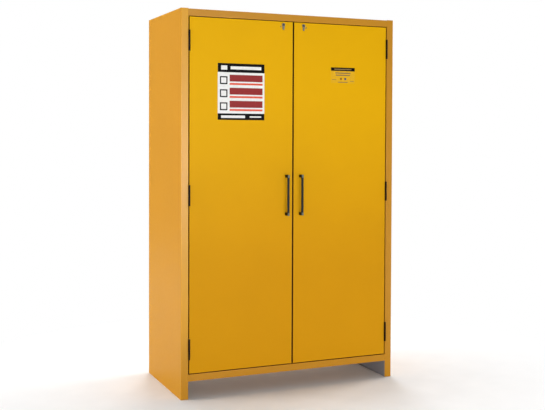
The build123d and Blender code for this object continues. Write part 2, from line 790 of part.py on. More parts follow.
# ---- ventilation and earthing ---------------------------------------------------------
def air_ducts():
    """Rear channels with intake slots near the floor, and a deeper head under each spigot."""
    back = INNER_BACK
    low = SLOT_FIRST + 10
    neck = INNER_HIGH - 110
    channel = (
        (depth(back), low),
        (depth(back - DUCT_DEEP), low),
        (depth(back - DUCT_DEEP), neck - FOLD_GAP),
        (depth(back), neck - FOLD_GAP),
    )
    head = (
        (depth(back), neck),
        (depth(back - DUCT_DEEP), neck),
        (depth(back - DUCT_HEAD), neck + 50),
        (depth(back - DUCT_HEAD), INNER_HIGH),
        (depth(back), INNER_HIGH),
    )
    shells = [duct_shell(profile) for profile in (channel, head)]
    with BuildPart() as ducts:
        add(shells)
        with BuildSketch(facing(back - DUCT_DEEP + SHEET)):
            with Locations((SPIGOT_X, low + 60)):
                with GridLocations(0, 24, 1, 5):
                    Rectangle(60, 8)
        extrude(amount=SHEET, mode=Mode.SUBTRACT)
        mirror(about=Plane.YZ)
    write(ducts, "air_ducts")


def duct_shell(profile):
    """A sheet duct of this side profile, open at the back, the top and the bottom."""
    with BuildPart() as shell:
        with BuildSketch(Plane.YZ.offset(SPIGOT_X - DUCT_HALF)):
            Polygon(*profile, align=None)
        extrude(amount=2 * DUCT_HALF)
        upright = shell.faces().sort_by(Axis.Z)
        offset(amount=-SHEET, openings=[upright[0], upright[-1], shell.faces().sort_by(Axis.Y)[-1]])
    return shell.part


def air_spigots():
    """Round duct connections, each on a square collar plate with a folded flap box under it."""
    spot = (SPIGOT_X, depth(SPIGOT_DEPTH))
    box_x = (SPIGOT_X - FLAP_BOX[0] / 2, SPIGOT_X + FLAP_BOX[0] / 2)
    box_y = depths(SPIGOT_DEPTH - FLAP_BOX[1] / 2, SPIGOT_DEPTH + FLAP_BOX[1] / 2)
    box_z = (LINER_HIGH, ROOF_Z)
    with BuildPart() as spigots:
        slab(box_x, box_y, box_z)
        slab(grown(box_x, -SHEET), grown(box_y, -SHEET), box_z, mode=Mode.SUBTRACT)
        bearing = 2 * FLAP_SHAFT + 0.1
        with Locations((SPIGOT_X, depth(SPIGOT_DEPTH), FLAP_Z)):
            Box(2 * FLAP_BOX[0], bearing, bearing, mode=Mode.SUBTRACT)
        with BuildSketch(Plane.XY.offset(ROOF_Z)):
            with Locations(spot):
                Rectangle(COLLAR_WIDTH, COLLAR_WIDTH)
        extrude(amount=SHEET)
        with BuildSketch(Plane.XY.offset(ROOF_Z)):
            with Locations(spot):
                Circle(SPIGOT_RADIUS)
        extrude(amount=SPIGOT_RISE)
        with BuildSketch(Plane.XY.offset(ROOF_Z)):
            with Locations(spot):
                Circle(SPIGOT_RADIUS - SHEET)
        extrude(amount=SPIGOT_RISE, mode=Mode.SUBTRACT)
        mirror(about=Plane.YZ)
    write(spigots, "air_spigots")


def air_flap(name, x):
    """Butterfly flap on a through shaft, standing open in its box."""
    with BuildPart() as flap:
        with Locations((x, depth(SPIGOT_DEPTH), FLAP_Z)):
            Box(FLAP_BOX[0] - 2 * SHEET - 2 * FLAP_PLAY, FLAP_THICK, FLAP_HEIGHT)
        with BuildSketch(Plane.YZ.offset(x - FLAP_BOX[0] / 2 - 0.5)):
            with Locations((depth(SPIGOT_DEPTH), FLAP_Z)):
                Circle(FLAP_SHAFT)
        extrude(amount=FLAP_BOX[0] + 1)
    write(flap, name)


def earth_stud():
    """Earthing stud welded on the roof, with its hexagon nut."""
    spot = (EARTH_X, depth(SPIGOT_DEPTH))
    with BuildPart() as stud:
        with BuildSketch(Plane.XY.offset(ROOF_Z)):
            with Locations(spot):
                Circle(EARTH_RADIUS)
        extrude(amount=EARTH_RISE)
        with BuildSketch(Plane.XY.offset(ROOF_Z)):
            with Locations(spot):
                RegularPolygon(7.5, 6)
        extrude(amount=6.5)
    write(stud, "earth_stud")


def carcass():
    side_shells()
    top_shell()
    base_shell()
    rear_shell()
    leg_plates()
    foot_rails()
    levelling_feet()
    side_insulation()
    roof_insulation()
    floor_insulation()
    rear_insulation()
    liners()
    frame_seals()
    hinge_frame_leaves()
    hinge_pins()
    bolt_strikes()


def storage():
    shelf_uprights()
    shelf_clips()
    shelves()
    sump()


def ventilation():
    air_ducts()
    air_spigots()
    air_flap("exhaust_flap", -SPIGOT_X)
    air_flap("supply_flap", SPIGOT_X)
    earth_stud()


def doors():
    for door in DOORS:
        door_skin(door)
        door_core(door)
        door_liner(door)
        meeting_seal(door)
        door_hinge_leaves(door)
        handle_posts(door)
        handle_caps(door)
        handle_bar(door)
        lock_case(door)
        lock_cylinder(door)
        lock_plug(door)
        lock_bolt(door)


carcass()
storage()
ventilation()
doors()
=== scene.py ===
"""Looks of the two-door safety cabinet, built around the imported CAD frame.

Metres, in the frame's own axes: the doors face -Y and Z is up.
"""

import json
import math

import bmesh
import bpy
from mathutils import Matrix, Vector


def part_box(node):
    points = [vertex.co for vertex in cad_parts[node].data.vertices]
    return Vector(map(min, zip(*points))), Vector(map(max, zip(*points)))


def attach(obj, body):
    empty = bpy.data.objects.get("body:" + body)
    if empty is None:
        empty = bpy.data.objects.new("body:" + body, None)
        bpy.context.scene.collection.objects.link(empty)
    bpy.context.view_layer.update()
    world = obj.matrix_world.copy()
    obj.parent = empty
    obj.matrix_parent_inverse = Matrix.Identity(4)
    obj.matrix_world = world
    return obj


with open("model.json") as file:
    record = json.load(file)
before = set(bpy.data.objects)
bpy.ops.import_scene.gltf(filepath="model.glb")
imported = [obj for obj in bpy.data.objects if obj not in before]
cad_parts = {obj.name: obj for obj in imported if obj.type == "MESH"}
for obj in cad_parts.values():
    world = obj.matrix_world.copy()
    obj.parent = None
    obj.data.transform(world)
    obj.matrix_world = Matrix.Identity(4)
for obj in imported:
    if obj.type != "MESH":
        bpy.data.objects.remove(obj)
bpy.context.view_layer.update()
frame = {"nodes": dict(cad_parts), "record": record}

MM = 0.001


# ---- measures taken from the frame -----------------------------------------------
def limits(node, axis):
    """Where a node begins and ends along an axis (0 is X, 1 is Y and 2 is Z)."""
    low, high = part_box(node)
    return low[axis], high[axis]


def middle(span):
    return sum(span) / 2


def trimmed(span, low, high):
    """A span with something taken off each end."""
    return span[0] + low, span[1] - high


OUTWARD = {"left": -1, "right": 1}
FEET = ("front_left", "front_right", "rear_left", "rear_right")
LEFT = limits("left_side_shell", 0)[0]
FRONT, BACK = limits("left_side_shell", 1)
ROOF_SHEET = limits("earth_stud", 2)[0]
JAMB = limits("hinge_frame_leaves", 0)[1]
HINGE_SPACING = 770.75 * MM


def hinge_heights():
    """The three spans of height that the hinge leaves take up."""
    low, high = limits("hinge_frame_leaves", 2)
    length = high - low - HINGE_SPACING * 2
    starts = [low + HINGE_SPACING * k for k in range(3)]
    return [(start, start + length) for start in starts]


def door_edges(side):
    """The X of a door's hinge edge, then that of its meeting edge."""
    return sorted(limits(f"{side}_door_skin", 0), key=lambda x: -OUTWARD[side] * x)


# ---- colours and shader helpers --------------------------------------------------
def linear(red, green, blue):
    """An sRGB colour in 0..255 as linear RGBA."""
    def channel(value):
        value /= 255
        return value / 12.92 if value <= 0.04045 else ((value + 0.055) / 1.055) ** 2.4
    return (channel(red), channel(green), channel(blue), 1.0)


def shade(colour, factor):
    """A colour made darker or lighter."""
    return (colour[0] * factor, colour[1] * factor, colour[2] * factor, 1.0)


def grey(level):
    return (level, level, level, 1.0)


# A Mix node repeats the names of its sockets, so those for colours go by number.
MIX_FIRST, MIX_SECOND, MIX_RESULT = 6, 7, 2


class Nodes:
    """A node tree, and short ways to add to it."""

    def __init__(self, tree):
        self.tree = tree

    def add(self, kind, feeds=None, **settings):
        """A new node. Its inputs take plain values or other nodes' outputs."""
        node = self.tree.nodes.new(f"ShaderNode{kind}")
        for setting, value in settings.items():
            setattr(node, setting, value)
        for socket, value in (feeds or {}).items():
            if isinstance(value, bpy.types.NodeSocket):
                self.tree.links.new(value, node.inputs[socket])
            else:
                node.inputs[socket].default_value = value
        return node

    def spread(self, value, start, end, easing="LINEAR"):
        """A value that runs over the start span, spread over the end span and held beyond."""
        feeds = {"Value": value, "From Min": start[0], "From Max": start[1]}
        feeds |= {"To Min": end[0], "To Max": end[1]}
        return self.add("MapRange", feeds, interpolation_type=easing).outputs["Result"]

    def calculate(self, operation, first, second):
        return self.add("Math", {0: first, 1: second}, operation=operation).outputs["Value"]


class Shader(Nodes):
    """A node material with one Principled shader, and short ways to feed it."""

    def __init__(self, name, roughness, metallic=0.0, specular=0.5):
        self.material = bpy.data.materials.new(name)
        self.material.use_nodes = True
        super().__init__(self.material.node_tree)
        self.main = self.tree.nodes["Principled BSDF"]
        self.main.inputs["Roughness"].default_value = roughness
        self.main.inputs["Metallic"].default_value = metallic
        self.main.inputs["Specular IOR Level"].default_value = specular
        self.place = self.add("TexCoord").outputs["Object"]

    def stretched(self, scale):
        """The place with each axis scaled by itself."""
        return self.add("Mapping", {"Vector": self.place, "Scale": scale}).outputs["Vector"]

    def noise(self, scale, detail=3.0, place=None):
        feeds = {"Vector": place or self.place, "Scale": scale, "Detail": detail}
        return self.add("TexNoise", feeds).outputs["Fac"]

    def cells(self, scale, output):
        return self.add("TexVoronoi", {"Vector": self.place, "Scale": scale}).outputs[output]

    def rise(self, axis, span):
        """0 before a span of one axis and 1 beyond it, smoothly."""
        parts = self.add("SeparateXYZ", {"Vector": self.place}).outputs
        return self.spread(parts[axis], span, (0.0, 1.0), "SMOOTHSTEP")

    def ramp(self, factor, first, last, places=(0.3, 0.7)):
        """One colour up to the first place of a factor, and the other from the last on."""
        node = self.add("ValToRGB", {"Fac": factor})
        for element, place, colour in zip(node.color_ramp.elements, places, (first, last)):
            element.position = place
            element.color = colour
        return node.outputs["Color"]

    def mottled(self, factor, colour, dark, light, places=(0.3, 0.7)):
        """A colour that drifts between two shades of itself."""
        return self.ramp(factor, shade(colour, dark), shade(colour, light), places)

    def mixed(self, factor, first, second):
        feeds = {"Factor": factor, MIX_FIRST: first, MIX_SECOND: second}
        return self.add("Mix", feeds, data_type="RGBA").outputs[MIX_RESULT]

    def colour(self, output):
        self.tree.links.new(output, self.main.inputs["Base Color"])

    def roughness(self, factor, low, high):
        rough = self.spread(factor, (0.0, 1.0), (low, high))
        self.tree.links.new(rough, self.main.inputs["Roughness"])

    def bump(self, height, distance):
        node = self.add("Bump", {"Height": height, "Distance": distance})
        self.tree.links.new(node.outputs["Normal"], self.main.inputs["Normal"])


# ---- materials -------------------------------------------------------------------
# Heights over which painted shade darkens the paint towards the floor and a painted highlight
# lightens the left stile, and where that stile's front face ends.
DOOR_SHADE_FADE = (0.5, 1.7)
FRAME_SHADE_FADE = (0.05, 0.6)
STILE_HIGHLIGHT_FADE = (0.05, 0.45)
STILE_EDGE = (LEFT + 36 * MM, LEFT + 39 * MM)
STILE_FACE = (FRONT + 0.2 * MM, FRONT + 0.8 * MM)
ORANGE_PEEL = 0.04 * MM


def powder_coat(name, colour, roughness, specular, low=None, shade_fade=DOOR_SHADE_FADE, stile_highlight=None):
    """Sprayed and baked paint: faint clouding and a fine orange-peel skin.

    With low, the paint darkens towards the floor over the given heights, down to that colour:
    painted shade.
    With stile, the front of the left stile has that lighter colour from knee height up: a painted
    highlight.
    """
    look = Shader(name, roughness, specular=specular)
    clouds = look.noise(2.2, detail=4.0)

    def clouded(paint):
        return look.mottled(clouds, paint, 0.975, 1.02)

    tone = clouded(colour)
    if low:
        # Painted shade: the paint turns to the darker low colour towards the floor.
        tone = look.mixed(look.rise("Z", shade_fade), clouded(low), tone)
    # Painted highlight: the left stile's front face lighter from knee height up.
    if stile_highlight:
        light = look.mixed(look.rise("Z", STILE_HIGHLIGHT_FADE), tone, clouded(stile_highlight))
        front = look.mixed(look.rise("X", STILE_EDGE), light, tone)
        tone = look.mixed(look.rise("Y", STILE_FACE), front, tone)
    look.colour(tone)
    look.roughness(look.noise(60, detail=2.0), roughness - 0.04, roughness + 0.05)
    look.bump(look.noise(900, detail=2.0), ORANGE_PEEL)
    return look.material


def galvanised(name, colour):
    """Zinc spangle: flat crystals of slightly different grey, brushed by handling."""
    look = Shader(name, 0.42, metallic=0.6)
    look.colour(look.mottled(look.cells(95, "Color"), colour, 0.86, 1.08, (0.15, 0.85)))
    look.roughness(look.noise(40, detail=5.0), 0.34, 0.52)
    look.bump(look.noise(420), 0.03 * MM)
    return look.material


def brushed(name, colour, roughness, along=(900, 900, 22)):
    """Drawn or brushed metal with fine lines along one axis."""
    look = Shader(name, roughness, metallic=0.95)
    lines = look.noise(1.0, detail=4.0, place=look.stretched(along))
    look.colour(look.mottled(lines, colour, 0.84, 1.1, (0.25, 0.75)))
    look.roughness(lines, roughness - 0.07, roughness + 0.1)
    look.bump(lines, 0.02 * MM)
    return look.material


def mineral_board(name, colour):
    """Pressed calcium silicate board: chalky, with fibres and small pits."""
    look = Shader(name, 0.92, specular=0.2)
    fibres = look.noise(1.0, detail=6.0, place=look.stretched((60, 420, 60)))
    look.colour(look.mottled(fibres, colour, 0.8, 1.05, (0.2, 0.8)))
    look.bump(look.cells(260, "Distance"), 0.3 * MM)
    return look.material


def laminate(name, colour):
    """Melamine-faced liner with a very fine pearl grain."""
    look = Shader(name, 0.38, specular=0.45)
    grain = look.noise(700)
    look.colour(look.mottled(grain, colour, 0.93, 1.02))
    look.roughness(grain, 0.32, 0.46)
    look.bump(look.noise(1500), 0.02 * MM)
    return look.material


def rubber(name, colour):
    """Matt sealing rubber with a blotchy bloom."""
    look = Shader(name, 0.78, specular=0.25)
    look.colour(look.mottled(look.noise(260, detail=5.0), colour, 0.75, 1.2))
    look.bump(look.noise(1400), 0.05 * MM)
    return look.material


def moulded(name, colour, roughness, specular):
    """Injection-moulded plastic with a light spark-eroded texture."""
    look = Shader(name, roughness, specular=specular)
    look.colour(look.mottled(look.noise(35), colour, 0.88, 1.12))
    look.roughness(look.noise(300, detail=2.0), roughness - 0.05, roughness + 0.07)
    look.bump(look.noise(2200, detail=1.0), 0.03 * MM)
    return look.material


def printed_film(name, colour, roughness=0.45, specular=0.15):
    """Ink on a plastic film, with a weak mottle."""
    look = Shader(name, roughness, specular=specular)
    look.colour(look.mottled(look.noise(90, detail=4.0), colour, 0.95, 1.04))
    look.roughness(look.noise(25), roughness - 0.05, roughness + 0.06)
    return look.material


# Frame and door paints each have a darker low colour near the floor, which is painted shade.
FRAME_YELLOW = linear(197, 137, 30)
FRAME_PAINTED_SHADE = linear(195, 134, 10)
# The left stile's lighter yellow is a painted highlight.
STILE_PAINTED_HIGHLIGHT = linear(219, 158, 34)
DOOR_YELLOW = linear(228, 172, 8)
DOOR_PAINTED_SHADE = linear(208, 147, 14)
LOOKS = {
    "frame_paint": powder_coat(
        "frame_paint", FRAME_YELLOW, 0.32, 0.45, FRAME_PAINTED_SHADE, FRAME_SHADE_FADE, STILE_PAINTED_HIGHLIGHT
    ),
    "door_paint": powder_coat("door_paint", DOOR_YELLOW, 0.45, 0.05, DOOR_PAINTED_SHADE),
    "leg_grey": powder_coat("leg_grey", linear(158, 158, 166), 0.5, 0.3),
    "liner": laminate("liner", linear(222, 223, 220)),
    "mineral_board": mineral_board("mineral_board", linear(214, 208, 196)),
    "galvanised": galvanised("galvanised", linear(176, 179, 182)),
    "shelf_paint": powder_coat("shelf_paint", linear(196, 199, 201), 0.42, 0.4),
    "seal": rubber("seal", linear(52, 50, 50)),
    "hinge_black": powder_coat("hinge_black", linear(14, 10, 13), 0.45, 0.1),
    "handle_black": moulded("handle_black", linear(4, 4, 8), 0.36, 0.06),
    "handle_bar": powder_coat("handle_bar", linear(24, 38, 48), 0.42, 0.16),
    "handle_cap": powder_coat("handle_cap", linear(100, 113, 110), 0.38, 0.3),
    "lock_nickel": brushed("lock_nickel", linear(176, 176, 178), 0.3, (700, 60, 700)),
    "foot_steel": brushed("foot_steel", linear(172, 174, 177), 0.34),
}
INK_DARK = printed_film("ink_dark", linear(10, 11, 15), roughness=0.5, specular=0.08)
INK_RED = printed_film("ink_red", linear(148, 44, 44))
INK_ORANGE = printed_film("ink_orange", linear(226, 96, 72))
INK_GREY = printed_film("ink_grey", linear(142, 118, 74))
INK_BROWN = printed_film("ink_brown", linear(146, 96, 16))
INK_BLUE = printed_film("ink_blue", linear(52, 78, 116))
FILM_WHITE = printed_film("film_white", linear(238, 238, 236))
FILM_YELLOW = printed_film("film_yellow", linear(226, 173, 26))
# The lock plug's darker steel is partly its own metal and partly painted shade of its keyway.
PLUG_STEEL_KEYWAY_SHADE = brushed("plug_steel_keyway_shade", linear(96, 94, 98), 0.4, (60, 700, 700))

# Finishes of the small pieces below: a material and the material slot it belongs to.
# Dark strips in the door gaps: painted shade.
GAP_SHADE_STRIP = (rubber("gap_shade_strip", linear(76, 22, 13)), "seal")
ZINC = (brushed("zinc_bright", linear(188, 190, 192), 0.34), "galvanised")
GALVANISED = (LOOKS["galvanised"], "galvanised")
STEEL = (LOOKS["foot_steel"], "foot_steel")
BLACK = (LOOKS["hinge_black"], "hinge_black")
DOT_GREY = (printed_film("dot_grey", linear(104, 100, 84)), "lock_nickel")


# ---- carried-over CAD nodes ------------------------------------------------------
# Each radius in millimetres, with the words that its nodes have in their names.
EDGE_WORDS = {
    0.6: ("handle_bar", "seal"),
    0.5: (
        "side_shell", "top_shell", "base_shell", "handle_posts", "foot", "shelf", "sump",
        "ducts", "liner",
    ),
    0.4: ("rear_shell", "leg_plates", "lock_bolt", "lock_case"),
    0.35: ("stud",),
    0.3: ("hinge", "spigots", "flap", "strikes"),
    0.25: ("handle_caps", "lock_cylinder"),
    0.12: ("lock_plug",),
}
WELD_REACH = 0.01 * MM
EDGE_SEGMENTS = 2
EDGE_ANGLE = math.radians(35)


def edge_radius(node):
    """The radius for a node's edges. Boards and door skins have none."""
    for radius, words in EDGE_WORDS.items():
        if any(word in node for word in words):
            return radius * MM
    return 0.0


def ease_edges(piece, radius):
    """Join the imported facets and round their sharp edges, so that they catch the light."""
    weld = piece.modifiers.new("weld", "WELD")
    weld.merge_threshold = WELD_REACH
    if radius:
        bevel = piece.modifiers.new("eased_edges", "BEVEL")
        bevel.width = radius
        bevel.segments = EDGE_SEGMENTS
        bevel.limit_method = "ANGLE"
        bevel.angle_limit = EDGE_ANGLE
        bevel.harden_normals = False
        bevel.use_clamp_overlap = True


def dress_cad():
    """Give each solid the material of its slot, and ease its edges."""
    slots = {row["node"]: row["material_slot"] for row in frame["record"]["subparts"]}
    for name, piece in frame["nodes"].items():
        # Lock plugs get the darker steel that also paints their keyway's shade.
        look = PLUG_STEEL_KEYWAY_SHADE if name.endswith("lock_plug") else LOOKS[slots[name]]
        piece.data.materials.clear()
        piece.data.materials.append(look)
        ease_edges(piece, edge_radius(name))


# ---- mesh helpers ----------------------------------------------------------------
SHARP_ANGLE = math.radians(40)
CARD_EASE = 0.15 * MM


def finish_mesh(name, mesh, body, finish):
    """Make an object of a bmesh, shade it, and ride it on its body."""
    material, slot = finish
    data = bpy.data.meshes.new(name)
    bmesh.ops.recalc_face_normals(mesh, faces=mesh.faces)
    mesh.to_mesh(data)
    mesh.free()
    data.materials.append(material)
    piece = bpy.data.objects.new(name, data)
    bpy.context.scene.collection.objects.link(piece)
    data.set_sharp_from_angle(angle=SHARP_ANGLE)
    for face in data.polygons:
        face.use_smooth = True
    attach(piece, body)


def skin(mesh, loops, closed=False):
    """Faces from each loop to the next. The two ends are capped, or joined if closed."""
    following = loops[1:] + loops[:1] if closed else loops[1:]
    for first, second in zip(loops, following):
        count = len(first)
        for k in range(count):
            after = (k + 1) % count
            mesh.faces.new((first[k], first[after], second[after], second[k]))
    if not closed:
        mesh.faces.new(loops[0])
        mesh.faces.new(loops[-1])


def turned(mesh, profile, segments, place, closed=False):
    """A solid of revolution from (radius, height) pairs in millimetres."""
    spins = [2 * math.pi * k / segments for k in range(segments)]
    loops = []
    for radius, height in profile:
        points = [(radius * math.cos(spin), radius * math.sin(spin), height) for spin in spins]
        loops.append([mesh.verts.new(place @ (Vector(point) * MM)) for point in points])
    skin(mesh, loops, closed)


def facing(spot, normal):
    """Places a local +Z along a normal at a spot."""
    turn = Vector(normal).to_track_quat("Z", "Y").to_matrix().to_4x4()
    return Matrix.Translation(Vector(spot)) @ turn


def rounded_outline(width, height, radius, steps):
    """Corner-rounded rectangle about the origin, anticlockwise."""
    points = []
    for turn, (sx, sy) in enumerate(((1, 1), (-1, 1), (-1, -1), (1, -1))):
        centre = Vector((sx * (width / 2 - radius), sy * (height / 2 - radius)))
        for step in range(steps + 1):
            angle = math.pi / 2 * (turn + step / steps)
            points.append(centre + Vector((math.cos(angle), math.sin(angle))) * radius)
    return points


def card(mesh, x, z, front, back, radius):
    """A thin upright card with rounded corners and an eased front edge."""
    ease = min(CARD_EASE, (back - front) / 2)
    loops = []
    for inset, y in ((0, back), (0, front + ease), (ease, front)):
        size = (x[1] - x[0] - 2 * inset, z[1] - z[0] - 2 * inset)
        outline = rounded_outline(*size, radius - inset, steps=5)
        loops.append([mesh.verts.new((middle(x) + p[0], y, middle(z) + p[1])) for p in outline])
    skin(mesh, loops)


# ---- dark strips in the door gaps, painted shade ---------------------------------
STRIP_THICK = 0.7 * MM
STRIP_ROUND = 0.3 * MM
STRIP_END = 1 * MM
STRIP_DEPTHS = (FRONT + 1.3 * MM, FRONT + 26 * MM)
MEETING_DEPTHS = (FRONT + 1.3 * MM, FRONT + 11.5 * MM)
LOW_GAP = 4.0 * MM
HIGH_GAP = 3.5 * MM
HINGE_MARGIN = 2 * MM


def strip(mesh, x, y, z, along):
    """A long bar that runs along one axis, with the corners of its section rounded."""
    spans = [x, y, z]
    run = spans.pop(along)
    first, second = spans
    size = (first[1] - first[0], second[1] - second[0])
    outline = rounded_outline(*size, STRIP_ROUND, steps=2)
    loops = []
    for end in run:
        loop = []
        for point in outline:
            spot = [middle(first) + point[0], middle(second) + point[1]]
            spot.insert(along, end)
            loop.append(mesh.verts.new(spot))
        loops.append(loop)
    skin(mesh, loops)


def between_hinges(span):
    """What the hinge leaves leave free of a span of height."""
    free, start = [], span[0]
    for low, high in hinge_heights():
        free.append((start, low - HINGE_MARGIN))
        start = high + HINGE_MARGIN
    return free + [(start, span[1])]


def gap_shade_strips():
    """Dark strips on the faces of the gaps round and between the doors, standing in for the shade
    there: painted shade.
    """
    door_z = limits("left_door_skin", 2)
    low, high = door_z[0] - LOW_GAP, door_z[1] + HIGH_GAP
    mesh = bmesh.new()
    for out in OUTWARD.values():
        x = sorted((out * JAMB, out * (JAMB - STRIP_THICK)))
        for z in between_hinges((low + STRIP_END, high - STRIP_END)):
            strip(mesh, x, STRIP_DEPTHS, z, 2)
    across = (STRIP_THICK - JAMB, JAMB - STRIP_THICK)
    for z in ((low, low + STRIP_THICK), (high - STRIP_THICK, high)):
        strip(mesh, across, STRIP_DEPTHS, z, 0)
    finish_mesh("frame_gap_shade_strips", mesh, "carcass", GAP_SHADE_STRIP)
    for side, out in OUTWARD.items():
        hinge_edge, meeting_edge = door_edges(side)
        mesh = bmesh.new()
        x = sorted((hinge_edge, hinge_edge + out * STRIP_THICK))
        for z in between_hinges(door_z):
            strip(mesh, x, STRIP_DEPTHS, z, 2)
        x = sorted((meeting_edge, meeting_edge - out * STRIP_THICK))
        strip(mesh, x, MEETING_DEPTHS, door_z, 2)
        finish_mesh(f"{side}_door_gap_shade_strips", mesh, f"{side}_door", GAP_SHADE_STRIP)


# ---- small fasteners, threads and rims -------------------------------------------
# Profiles as (radius, height over the face) in millimetres.
BLIND_RIVET = ((3.2, -0.3), (3.2, 0.3), (2.7, 0.85), (1.6, 1.2), (0.9, 1.2), (0.8, 0.7))
SMALL_RIVET = ((2.0, -0.3), (2.0, 0.2), (1.6, 0.6), (0.9, 0.8), (0.5, 0.8), (0.4, 0.5))
FLUSH_SCREW = ((3.0, -0.8), (4.0, 0.0), (3.8, 0.15), (1.6, 0.15), (1.5, -0.6))
PAN_SCREW = ((4.2, -0.2), (4.2, 0.9), (3.6, 1.8), (2.2, 2.2), (1.5, 2.2), (1.4, 1.0))
DOT = ((3.25, -0.3), (3.25, 0.5), (2.9, 0.85), (1.4, 1.0))
SPIGOT_RIM = ((37.3, -1.76), (38.27, -1.1), (38.6, 0.0), (38.27, 1.1), (37.3, 1.76))

# Threads in millimetres; start is the height over the stud's lower end. The foot's crests
# are low, so that they clear the square holes of the foot rails.
EARTH_THREAD = {"radius": 4.0, "proud": 0.28, "pitch": 1.25, "start": 7.5}
FOOT_THREAD = {"radius": 5.0, "proud": 0.07, "pitch": 1.5, "start": 8.5}
THREAD_SEGMENTS = 16
THREAD_HALF = 0.42
THREAD_SUNK = 0.05
THREAD_END = 1

# Where the fasteners stand: rivets by their distance from the edge of a sheet or of a door.
REAR_RIVET_INSET = 9 * MM
LIP_HINGE_SIDE = 3.9 * MM
LIP_MEETING_SIDE = 8 * MM
LIP_FOOT = 10 * MM
COLLAR_RIVET = 43 * MM
COLLAR_THICK = 1.5 * MM
RIM_DROP = 7 * MM
UPRIGHT_DEEP = 12 * MM
UPRIGHT_HALF = 12.5 * MM
UPRIGHT_SCREWS = (324 * MM, 900 * MM, 1668 * MM)
HEAD_SEGMENTS = 18
DOT_SEGMENTS = 28
RIM_SEGMENTS = 64
LEAF = 2 * MM
LEAF_SCREW_Y = FRONT + 17 * MM
LEAF_SCREWS = (-38 * MM, 0, 38 * MM)
DOT_X = {"left": -65.5 * MM, "right": 78.5 * MM}
DOT_Z = 1885.7 * MM


def heads(name, profile, spots, normal, body, finish, segments=HEAD_SEGMENTS):
    """The same turned head at several spots of one face."""
    mesh = bmesh.new()
    for spot in spots:
        turned(mesh, profile, segments, facing(spot, normal))
    finish_mesh(name, mesh, body, finish)


def spaced(span, count):
    """Evenly spread places with both ends of the span taken."""
    return [span[0] + (span[1] - span[0]) * k / (count - 1) for k in range(count)]


def border_spots(x, y, z, across, up):
    """Spots along the four sides of an upright rectangle, so many across and up."""
    rows = [(place, y, level) for place in spaced(x, across) for level in z]
    columns = [(edge, y, level) for edge in x for level in spaced(z, up)[1:-1]]
    return rows + columns


def thread(name, node, body, radius, proud, pitch, start):
    """A helical ridge along an upright stud."""
    x, y, z = (limits(node, axis) for axis in range(3))
    low, high = trimmed(z, start * MM, THREAD_END * MM)
    ridge = ((-THREAD_SUNK, -THREAD_HALF * pitch), (proud, 0), (-THREAD_SUNK, THREAD_HALF * pitch))
    steps = int((high - low) / (pitch * MM) * THREAD_SEGMENTS)
    mesh = bmesh.new()
    loops = []
    for step in range(steps + 1):
        angle = 2 * math.pi * step / THREAD_SEGMENTS
        axis = Vector((middle(x), middle(y), low + pitch * MM * step / THREAD_SEGMENTS))
        spin = Vector((math.cos(angle), math.sin(angle), 0))
        points = [spin * (radius + out) + Vector((0, 0, lift)) for out, lift in ridge]
        loops.append([mesh.verts.new(axis + point * MM) for point in points])
    skin(mesh, loops)
    finish_mesh(name, mesh, body, STEEL)


def rear_rivets():
    """Blind rivets round the back sheet."""
    x, z = (
        trimmed(limits("rear_shell", axis), REAR_RIVET_INSET, REAR_RIVET_INSET) for axis in (0, 2)
    )
    spots = border_spots(x, BACK, z, across=5, up=9)
    heads("rear_rivets", BLIND_RIVET, spots, (0, 1, 0), "carcass", ZINC)


def spigot_trim():
    """Rivets in the corners of the collar plates, and a rolled rim on each spigot."""
    y = middle(limits("exhaust_flap", 1))
    spigots = [(middle(limits(f"{name}_flap", 0)), y) for name in ("exhaust", "supply")]
    corners = [(sx * COLLAR_RIVET, sy * COLLAR_RIVET) for sx in (-1, 1) for sy in (-1, 1)]
    plate = ROOF_SHEET + COLLAR_THICK
    spots = [(x + dx, y + dy, plate) for x, y in spigots for dx, dy in corners]
    heads("collar_rivets", SMALL_RIVET, spots, (0, 0, 1), "carcass", ZINC)
    rim = limits("air_spigots", 2)[1] - RIM_DROP
    mesh = bmesh.new()
    for x, y in spigots:
        place = Matrix.Translation(Vector((x, y, rim)))
        turned(mesh, SPIGOT_RIM, RIM_SEGMENTS, place, closed=True)
    finish_mesh("spigot_beads", mesh, "carcass", GALVANISED)


def upright_screws():
    """Pan-head screws that hold the slotted uprights to the side panels."""
    web = limits("shelf_uprights", 0)[1] - UPRIGHT_DEEP
    rows = trimmed(limits("shelf_uprights", 1), UPRIGHT_HALF, UPRIGHT_HALF)
    for side, out in OUTWARD.items():
        spots = [(out * web, y, z) for y in rows for z in UPRIGHT_SCREWS]
        heads(f"{side}_upright_screws", PAN_SCREW, spots, (-out, 0, 0), "carcass", ZINC)


def door_fasteners(side):
    """Rivets round the inner lip, leaf screws and the round indicator beside the lock."""
    out, body = OUTWARD[side], f"{side}_door"
    hinge_edge, meeting_edge = door_edges(side)
    back = limits(f"{side}_door_skin", 1)[1]
    x = sorted((hinge_edge - out * LIP_HINGE_SIDE, meeting_edge + out * LIP_MEETING_SIDE))
    z = trimmed(limits(f"{side}_door_skin", 2), LIP_FOOT, LIP_HINGE_SIDE)
    spots = border_spots(x, back, z, across=4, up=10)
    heads(f"{side}_door_rivets", SMALL_RIVET, spots, (0, 1, 0), body, ZINC)
    levels = [middle(leaf) + lift for leaf in hinge_heights() for lift in LEAF_SCREWS]
    leaves = (("door", abs(hinge_edge) + LEAF, out, body), ("jamb", JAMB - LEAF, -out, "carcass"))
    for leaf, face, normal, rides_on in leaves:
        spots = [(out * face, LEAF_SCREW_Y, level) for level in levels]
        name = f"{side}_{leaf}_leaf_screws"
        heads(name, FLUSH_SCREW, spots, (normal, 0, 0), rides_on, BLACK)
    spot = (DOT_X[side], FRONT, DOT_Z)
    heads(f"{side}_lock_dot", DOT, [spot], (0, -1, 0), body, DOT_GREY, DOT_SEGMENTS)


